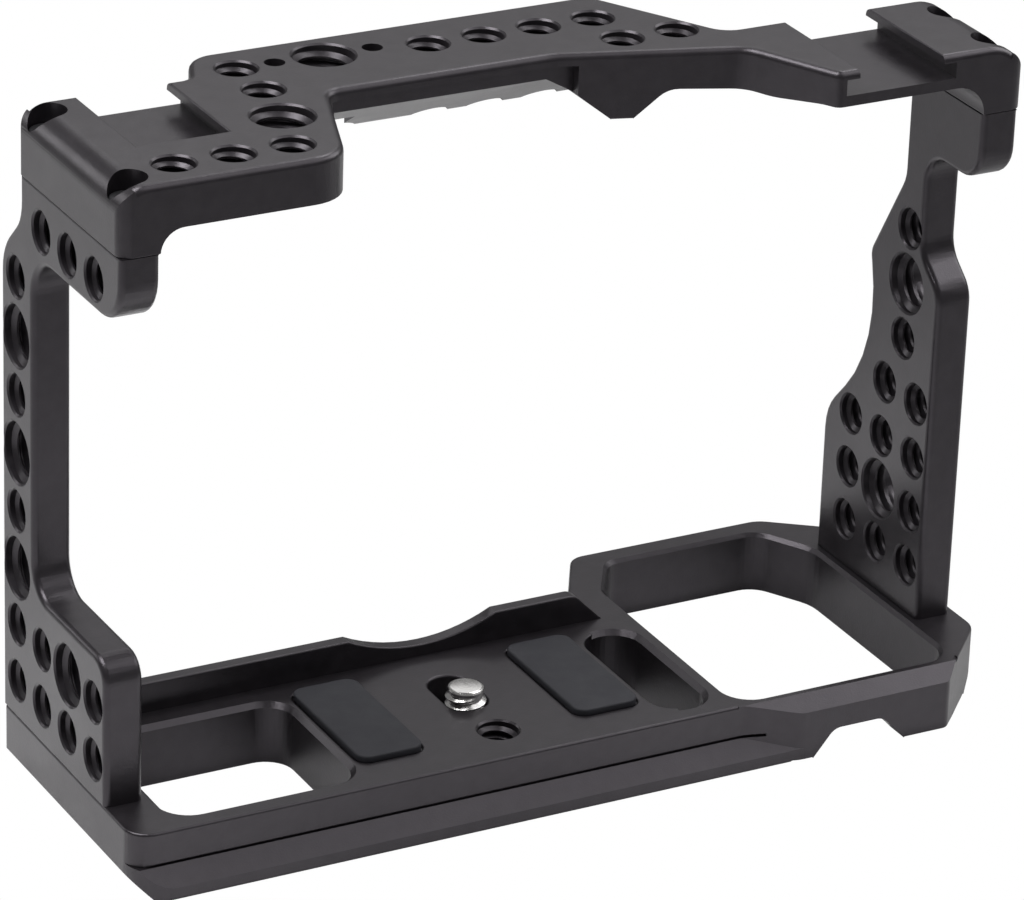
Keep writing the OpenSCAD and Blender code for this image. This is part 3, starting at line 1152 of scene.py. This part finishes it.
@dataclass
class CageFrame:
    """The four bolted plates, with the sizes that their holes and edges follow."""

    x_left: float = -64.2
    x_right: float = 83.6
    top_over: float = 0.8
    y_rear: float = -13.9
    side_t: float = 6.2
    side_h: float = 88.5
    top_t: float = 10.6
    base_t: float = 10.2
    pitch: float = 9.25
    pitch_z: float = 9.4
    row_inset: float = 6.1
    left_col_y: float = 22.9
    right_col_y: float = 17.9
    upper_col_y: float = 4.3
    right_row_z: float = 7.8
    rim: float = 0.32
    left_block_low: float = 92.4
    bar_low: float = 90.4
    right_block_low: float = 92.8
    left_shoe_x: float = -48.0
    right_shoe_x: float = 62.5
    shoe_half: float = 7.4
    screw_rim: float = 2.9
    pin_rim: float = 1.6
    joint_round: float = 0.25
    side_round: float = 1.0
    top_round: float = 1.1
    shoe_round: float = 0.3
    shoulder_round: float = 6.2

    @property
    def z_top(self) -> float:
        """Height of the top face."""
        return self.side_h + self.top_t

    def side_holes(self, x: float, places: Iterable[SidePlace]) -> list[Hole]:
        """Holes through a side plate.

        Args:
            x: Middle of the plate.
            places: (y, z, thread) of each hole.

        Returns:
            The holes.
        """
        length = self.side_t - 2 * self.rim
        return [Hole((x, y, z), Axis.X, thread, length) for y, z, thread in places]

    def left_places(self) -> list[SidePlace]:
        """Places of the left plate's holes.

        Returns:
            (y, z, thread) of each hole.
        """
        def at(col: int, row: int, big: bool = False) -> SidePlace:
            """Places a hole by its column and row.

            Args:
                col: Columns behind the front one.
                row: Rows above the lowest.
                big: True for the larger thread.

            Returns:
                Its (y, z, thread).
            """
            return (self.left_col_y - col * self.pitch,
                    self.row_inset + row * self.pitch_z,
                    THREE_EIGHTHS if big else QUARTER)
        column = [at(0, row, row in (2, 4, 6)) for row in range(8)]
        foot = [at(1, 0), at(1, 1), at(2, 0), at(2, 1, True), at(3, 0), at(3, 1)]
        top_z = self.side_h - self.row_inset
        arm = [(self.left_col_y - col * self.pitch, top_z, QUARTER)
               for col in (1, 2, 3)]
        return column + foot + arm

    def right_places(self) -> list[SidePlace]:
        """Places of the right plate's holes.

        Returns:
            (y, z, thread) of each hole.
        """
        def at(y: float, row: int, big: bool = False) -> SidePlace:
            """Place of a hole by its column's Y and its row."""
            return (y, self.right_row_z + row * self.pitch,
                    THREE_EIGHTHS if big else QUARTER)
        front = self.right_col_y
        return ([at(front, row) for row in range(3)]
                + [at(front - self.pitch, row, row == 1) for row in range(4)]
                + [at(front - 2 * self.pitch, row) for row in range(4)]
                + [at(self.upper_col_y, row, row == 5) for row in range(4, 7)])

    def top_holes(self) -> list[Hole]:
        """Holes in the top plate, each as deep as the metal round it.

        Returns:
            The holes.
        """
        top = self.z_top - self.rim

        def down(x: float, y: float, low: float, thread: ThreadForm = QUARTER) -> Hole:
            """Hole from the top face down to a height."""
            return Hole((x, y, (low + top) / 2), Axis.Z, thread, top - low)
        left, bar, right = self.left_block_low, self.bar_low, self.right_block_low
        holes = [down(-34.6 - i * self.pitch, -7.4, left) for i in range(3)]
        holes += [down(-29.2, 22.7 - i * self.pitch, left) for i in range(2)]
        holes += [down(-31.2, 3, left, THREE_EIGHTHS),
                  down(-15, 22.7, left, THREE_EIGHTHS)]
        holes += [down(1.4 + i * self.pitch, 21, bar) for i in range(4)]
        holes += [down(1.4 + i * self.pitch, 21 - self.pitch, right) for i in (3, 4)]
        return holes

    def side_caps(self, x_low: float) -> list[Cap]:
        """Both broad faces of a side plate.

        Args:
            x_low: Its lower X face.

        Returns:
            The faces.
        """
        def width(middle: Vector, other: Vector) -> float:
            """Fine where the plate meets another, broad elsewhere."""
            at_joint = middle.z < 0.05 or middle.z > self.side_h - 0.05
            return self.joint_round if at_joint else self.side_round
        return [Cap(0, x_low, -1, width), Cap(0, x_low + self.side_t, 1, width)]

    def top_caps(self) -> list[Cap]:
        """Faces of the top plate with rounded edges.

        Returns:
            The faces.
        """
        def in_shoe(point: Vector) -> bool:
            """Tells whether a point lies over a cold shoe's floor.

            Args:
                point: The point, in millimetres.

            Returns:
                True if it does.
            """
            in_left = abs(point.x - self.left_shoe_x) < self.shoe_half
            in_right = abs(point.x - self.right_shoe_x) < self.shoe_half
            return (in_left and point.y > 0.3) or in_right

        def over(middle: Vector, other: Vector) -> float:
            """Broad round the top face, fine on the shoes' lips.

            Args:
                middle: The edge's middle, in millimetres.
                other: Normal of the edge's other face.

            Returns:
                The width, or 0 for a sharp edge.
            """
            if in_shoe(middle):
                return self.shoe_round if abs(other.x) > 0.9 or middle.y < 1 else 0.0
            return self.top_round if abs(other.z) < 0.01 else 0.0

        def shoulder(middle: Vector, other: Vector) -> float:
            """Broad along both outer shoulders only.

            Args:
                middle: The edge's middle, in millimetres.
                other: Normal of the edge's other face.

            Returns:
                The width, or 0 for a sharp edge.
            """
            top_right = self.x_right + self.top_over
            outer = middle.x - self.x_left < 4.25 or top_right - middle.x < 6.25
            return self.top_round if outer and other.z > 0.02 else 0.0
        rears_and_fronts = ((self.y_rear, -1), (21.9, 1), (8.8, 1))
        return [Cap(2, self.z_top, 1, over),
                Cap(2, self.side_h, -1, evenly(self.joint_round)),
                *(Cap(1, y, facing, shoulder) for y, facing in rears_and_fronts)]

    def base_caps(self) -> list[Cap]:
        """Faces of the base plate with rounded edges.

        Returns:
            The faces.
        """
        def floor(middle: Vector, other: Vector) -> float:
            """Broad round the windows, fine at the long slot's left end.

            Args:
                middle: The edge's middle, in millimetres.
                other: Normal of the edge's other face.

            Returns:
                The width, or 0 for a sharp edge.
            """
            across = -18 < middle.y < 17 or (37 < middle.x < 76.5 and middle.y < 34.5)
            along = self.x_left + 1 < middle.x < -24 or 24 < middle.x < 80
            if not (across and along):
                return 0.45
            long_slot_left = 24 < middle.x < 29 and other.x > 0.3
            return 0.25 if long_slot_left else 0.6 if middle.x > 36 else 0.8

        def lip(middle: Vector, other: Vector) -> float:
            """Fine along the front lip's top."""
            return 0.3 if other.z > 0.3 and middle.z > 0.5 else 0.0
        return [Cap(2, 0.0, 1, floor, flat_from=0.55),
                Cap(2, -self.base_t, -1, evenly(0.4)),
                Cap(1, 18.4, 1, lip), Cap(1, 16.1, -1, lip)]

    def plates(self) -> list[MilledPlate]:
        """The four plates, ready to build.

        Returns:
            The plates.
        """
        left_mid = self.x_left + self.side_t / 2
        right_mid = self.x_right - self.side_t / 2
        screw, pin = self.screw_rim, self.pin_rim
        top_rims = [(left_mid, 18.275, screw), (left_mid, -9.475, screw),
                    (right_mid, 3.1, screw), (right_mid, -9.3, screw),
                    (-23, 22.7, pin), (-7, 22.7, pin)]
        base_rims = [(left_mid, 18.275, screw), (left_mid, -0.225, screw),
                     (right_mid, 22.525, screw), (right_mid, 4.025, screw)]
        corner_x = self.x_right + self.top_over
        right_shoulder = EdgeRun(
            points=[Vector((corner_x, y, self.z_top)) for y in (self.y_rear - 1, 10.0)],
            closed=False, normal=Vector((0, 0, 1)), width=self.shoulder_round,
            spare=1.0, steps=12)
        base_hole = Hole((0, -10.7, -self.base_t / 2), Axis.Z, QUARTER,
                         self.base_t - 2 * self.rim)
        return [
            MilledPlate("base_plate", [base_hole], self.base_caps(), base_rims),
            MilledPlate("left_side_plate",
                        self.side_holes(left_mid, self.left_places()),
                        self.side_caps(self.x_left)),
            MilledPlate("right_side_plate",
                        self.side_holes(right_mid, self.right_places()),
                        self.side_caps(self.x_right - self.side_t)),
            MilledPlate("top_plate", self.top_holes(), self.top_caps(), top_rims,
                        [right_shoulder]),
        ]


# ---------------------------------------------------------------- small pieces


@dataclass
class RubberPads:
    """Two pads, each a rounded sheet set into the camera floor."""

    round_edge: float = 0.3

    def build(self, finishes: Finishes) -> None:
        """Builds both pads.

        Args:
            finishes: The object's materials.
        """
        for side in ("left", "right"):
            node = f"{side}_rubber_pad"
            piece = merged_copy(node, f"{node}_moulded")
            with edit_all(piece):
                bpy.ops.mesh.dissolve_limited(angle_limit=math.radians(0.5))
            apply_modifier(piece, "BEVEL", limit_method="ANGLE",
                           angle_limit=math.radians(40), width=self.round_edge * MM,
                           segments=3, use_clamp_overlap=False)
            shade(piece, 35)
            finishes.dress(piece, MaterialSlot.RUBBER)
            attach(piece, CAGE)
            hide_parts(node)
            log.info("%s", piece.name)


@dataclass
class CameraScrew:
    """Captive camera screw with its washer and clip, in millimetres."""

    head_radius: float = 6.0
    head_low: float = -10.0
    head_high: float = -8.0
    neck_radius: float = 2.4
    thread_low: float = -4.35
    tip: float = 2.5
    disc_radius: float = 2.85
    key_radius: float = 2.3
    key_depth: float = 1.5
    coin_width: float = 1.2
    coin_depth: float = 0.8
    chamfer: float = 0.25

    def build(self, finishes: Finishes) -> None:
        """Builds the turned screw and dresses the washer and the clip.

        Args:
            finishes: The object's materials.
        """
        core = QUARTER.radius - QUARTER.depth
        body = turn_profile("camera_screw_turned", [
            (self.head_radius - self.chamfer, self.head_low),
            (self.head_radius, self.head_low + self.chamfer),
            (self.head_radius, self.head_high - self.chamfer),
            (self.head_radius - self.chamfer, self.head_high),
            (self.neck_radius, self.head_high + 0.01),
            (self.neck_radius, self.thread_low - 0.01),
            (core, self.thread_low),
            (core, self.tip - 1.15),
            (self.disc_radius - 0.12, self.tip - 1.0),
            (self.disc_radius, self.tip - 0.88),
            (self.disc_radius, self.tip - 0.42),
            (self.disc_radius - 0.14, self.tip - 0.18),
            (self.disc_radius - 0.4, self.tip - 0.04),
            (self.disc_radius - 0.65, self.tip),
        ])
        self.cut_head(body)
        length = self.tip - 0.7 - self.thread_low
        ridge = QUARTER.ridge("camera_screw_thread", length, inner=False,
                              steps_per_turn=40)
        ridge.data.transform(Matrix.Translation((0, 0, self.thread_low * MM)))
        shade(body, 30)
        screw = join_pieces([body, ridge], "camera_screw_turned")
        finishes.dress(screw, MaterialSlot.BRIGHT)
        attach(screw, "thumb_screw")
        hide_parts("camera_screw")
        log.info("%s", screw.name)
        for node in ("slot_washer", "screw_clip"):
            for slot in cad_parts[node].material_slots:
                slot.material = finishes.by_slot[MaterialSlot.BRIGHT]
            log.info("%s", node)

    def cut_head(self, body: bpy.types.Object) -> None:
        """Cuts the hexagonal socket and the coin slot into the head's underside.

        Args:
            body: The screw.
        """
        subtract(body, hex_cutter(self.key_radius, self.head_low - self.key_depth,
                                  self.head_low + self.key_depth, degrees=30))
        deselect_all()
        bpy.ops.mesh.primitive_cube_add(size=MM, location=(0, 0, self.head_low * MM))
        coin = bpy.context.object
        coin.scale = (3 * self.head_radius, self.coin_width, 2 * self.coin_depth)
        freeze_place(coin)
        subtract(body, coin)


@dataclass
class AssemblyScrews:
    """The eight socket head screws: one is modelled and copied."""

    head_radius: float = 2.75
    head_height: float = 2.0
    shank_radius: float = 1.5
    length: float = 10.0
    key_radius: float = 1.44
    key_depth: float = 1.2
    knurls: int = 36
    knurl_scale: float = 0.965

    def model(self) -> bpy.types.Object:
        """Models one screw, with its seat at the origin and its shank down.

        Returns:
            The screw.
        """
        top = self.head_height
        body = turn_profile("assembly_screw_master", [
            (self.shank_radius - 0.3, -self.length),
            (self.shank_radius, -self.length + 0.3),
            (self.shank_radius, 0),
            (self.head_radius - 0.1, 0.001),
            (self.head_radius, 0.15),
            (self.head_radius, top - 0.3),
            (self.head_radius - 0.1, top - 0.1),
            (self.head_radius - 0.3, top),
        ], sides=self.knurls * 2)
        subtract(body, hex_cutter(self.key_radius, top - self.key_depth, top + 1))
        self.knurl(body)
        shade(body, 25)
        return body

    def knurl(self, body: bpy.types.Object) -> None:
        """Presses straight knurls into the side of the head.

        Args:
            body: The screw.
        """
        for vertex in body.data.vertices:
            x, y, z = (c / MM for c in vertex.co)
            on_side = math.hypot(x, y) > self.head_radius - 0.05
            step = round(math.atan2(y, x) / (math.tau / (2 * self.knurls)))
            if on_side and 0.1 < z < self.head_height - 0.2 and step % 2:
                vertex.co.x *= self.knurl_scale
                vertex.co.y *= self.knurl_scale

    def build(self, finishes: Finishes) -> None:
        """Places a copy of the screw at each node.

        Args:
            finishes: The object's materials.
        """
        master = self.model()
        for level in ("top", "base"):
            for side in ("left", "right"):
                for end in ("front", "rear"):
                    node = f"{level}_screw_{side}_{end}"
                    low, high = (Vector(c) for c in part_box(node))
                    middle = (low + high) / 2
                    if level == "top":
                        seat, turn = high.z - self.head_height * MM, Matrix.Identity(4)
                    else:
                        seat = low.z + self.head_height * MM
                        turn = Matrix.Rotation(math.pi, 4, "X")
                    piece = copy_piece(master, f"{node}_head")
                    place = Matrix.Translation((middle.x, middle.y, seat))
                    piece.data.transform(place @ turn)
                    finishes.dress(piece, MaterialSlot.BLACK_STEEL)
                    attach(piece, CAGE)
                    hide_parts(node)
                    log.info("%s", piece.name)
        bpy.data.objects.remove(master)


# ---------------------------------------------------------------- studio


@dataclass(frozen=True)
class SoftBox:
    """One square studio lamp, in metres and watts."""

    name: str
    place: Place
    aim: Place
    size: float
    power: float

    def build(self) -> None:
        """Hangs the lamp and aims it."""
        lamp = bpy.data.lights.new(self.name, "AREA")
        lamp.shape = "SQUARE"
        lamp.size = self.size
        lamp.energy = self.power
        holder = bpy.data.objects.new(self.name, lamp)
        holder.location = self.place
        away = Vector(self.aim) - Vector(self.place)
        holder.rotation_euler = away.to_track_quat("-Z", "Y").to_euler()
        bpy.context.scene.collection.objects.link(holder)


@dataclass
class Studio:
    """White floor with a painted pool of light in its reflections, soft lamps and the
    camera.
    """

    floor_z: float = -0.01022
    floor_size: float = 6.0
    world_strength: float = 0.22
    white: float = 0.86
    # Painted pool of light: the floor's colour in reflections, lighter near the object
    # and on its left, and how far each reaches.
    painted_pool_light: tuple[float, float] = (1.0, 0.42)
    painted_left_light: float = 0.3
    painted_pool_reach: tuple[float, float] = (0.05, 0.14)
    painted_left_reach: tuple[float, float] = (-0.12, -0.02)
    lamps: tuple[SoftBox, ...] = (
        SoftBox("lamp_top", (-0.21, 0.05, 0.48), (-0.06, 0.02, 0.0), 0.28, 2.6),
        SoftBox("lamp_key", (0.33, -0.31, 0.65), (0.0, 0.0, 0.03), 0.6, 1.8),
        SoftBox("lamp_back", (0.22, 0.44, 0.54), (0.02, 0.0, 0.08), 0.5, 0.74),
        SoftBox("lamp_left", (-0.41, 0.56, 0.30), (-0.06, 0.0, 0.06), 0.22, 0.45),
        SoftBox("lamp_right", (0.34, 0.0, 0.26), (0.14, 0.03, 0.0), 0.25, 0.65),
        SoftBox("lamp_edge", (0.27, 0.17, 0.53), (0.0, 0.0, 0.02), 0.18, 0.55),
    )
    eye: Place = (-0.3639, -0.6758, 0.3947)
    azimuth: float = 28.727
    dip: float = 24.673
    roll: float = 2.054
    focal_px: float = 5661.0
    frame_px: tuple[int, int] = (1024, 900)

    def build(self) -> None:
        """Builds the floor, the world, the lamps and the camera."""
        self.lay_floor()
        self.light_world()
        for lamp in self.lamps:
            lamp.build()
        self.place_camera()
        bpy.context.scene.view_settings.view_transform = "Standard"

    def lay_floor(self) -> None:
        """Lays a floor that looks white but keeps the object's shadow, with a painted
        pool of light in reflections.
        """
        deselect_all()
        bpy.ops.mesh.primitive_plane_add(size=self.floor_size,
                                         location=(0, 0, self.floor_z))
        floor = bpy.context.object
        floor.name = floor.data.name = "studio_floor"
        freeze_place(floor)
        material = bpy.data.materials.new("studio_floor")
        material.use_nodes = True
        nodes = NodeTree(material.node_tree)
        material.node_tree.nodes.clear()
        place = nodes.add("ShaderNodeTexCoord").outputs["Object"]
        distance = nodes.add("ShaderNodeVectorMath", operation="LENGTH")
        nodes.feed(place, distance.inputs[0])
        # Painted pool of light: the colour that reflections see grows lighter near the
        # object and towards its left.
        painted_pool = nodes.math(
            "ADD",
            nodes.spread(distance.outputs["Value"], *self.painted_pool_reach,
                         *self.painted_pool_light),
            nodes.spread(nodes.split(place)["X"], *self.painted_left_reach,
                         self.painted_left_light, 0.0))
        rays = nodes.add("ShaderNodeLightPath").outputs
        diffuse = nodes.add("ShaderNodeBsdfDiffuse")
        nodes.feed(nodes.spread(rays["Is Glossy Ray"], 0.0, 1.0, self.white, painted_pool),
                   diffuse.inputs["Color"])
        glow = nodes.add("ShaderNodeEmission")
        mix = nodes.add("ShaderNodeMixShader")
        for value, socket in zip((rays["Is Camera Ray"], diffuse.outputs[0],
                                  glow.outputs[0]), mix.inputs):
            nodes.feed(value, socket)
        output = nodes.add("ShaderNodeOutputMaterial")
        nodes.feed(mix.outputs[0], output.inputs["Surface"])
        floor.data.materials.append(material)

    def light_world(self) -> None:
        """Sets a soft white surround that looks white itself."""
        world = bpy.data.worlds.new("studio_world")
        bpy.context.scene.world = world
        world.use_nodes = True
        nodes = NodeTree(world.node_tree)
        world.node_tree.nodes.clear()
        surround = nodes.add("ShaderNodeBackground")
        nodes.feed((1.0, 1.0, 1.0), surround.inputs["Color"])
        camera_ray = nodes.add("ShaderNodeLightPath").outputs["Is Camera Ray"]
        nodes.feed(nodes.spread(camera_ray, 0.0, 1.0, self.world_strength, 1.0),
                   surround.inputs["Strength"])
        output = nodes.add("ShaderNodeOutputWorld")
        nodes.feed(surround.outputs[0], output.inputs["Surface"])

    def place_camera(self) -> None:
        """Places the camera at its eye point and turns it."""
        azimuth, dip, roll = (math.radians(angle) for angle in
                              (self.azimuth, self.dip, self.roll))
        forward = Vector((math.sin(azimuth) * math.cos(dip),
                          math.cos(azimuth) * math.cos(dip), -math.sin(dip)))
        level = Vector((math.cos(azimuth), -math.sin(azimuth), 0))
        above = level.cross(forward)
        right = level * math.cos(roll) + above * math.sin(roll)
        up = above * math.cos(roll) - level * math.sin(roll)
        turn = Matrix((right, up, -forward)).transposed().to_4x4()
        lens = bpy.data.cameras.new("studio_camera")
        lens.sensor_fit = "HORIZONTAL"
        lens.sensor_width = 36.0
        lens.lens = self.focal_px / self.frame_px[0] * lens.sensor_width
        lens.clip_start = 0.05
        lens.clip_end = 20.0
        camera = bpy.data.objects.new("studio_camera", lens)
        camera.matrix_world = Matrix.Translation(self.eye) @ turn
        bpy.context.scene.collection.objects.link(camera)
        bpy.context.scene.camera = camera


def main() -> None:
    """Builds the studio and every sub-assembly in order."""
    logging.basicConfig(level=logging.INFO, format="%(name)s: %(message)s")
    deselect_all()
    Studio().build()
    finishes = Finishes()
    for plate in CageFrame().plates():
        plate.build(finishes)
    RubberPads().build(finishes)
    CameraScrew().build(finishes)
    AssemblyScrews().build(finishes)
    deselect_all()


if __name__ == "__main__":
    main()
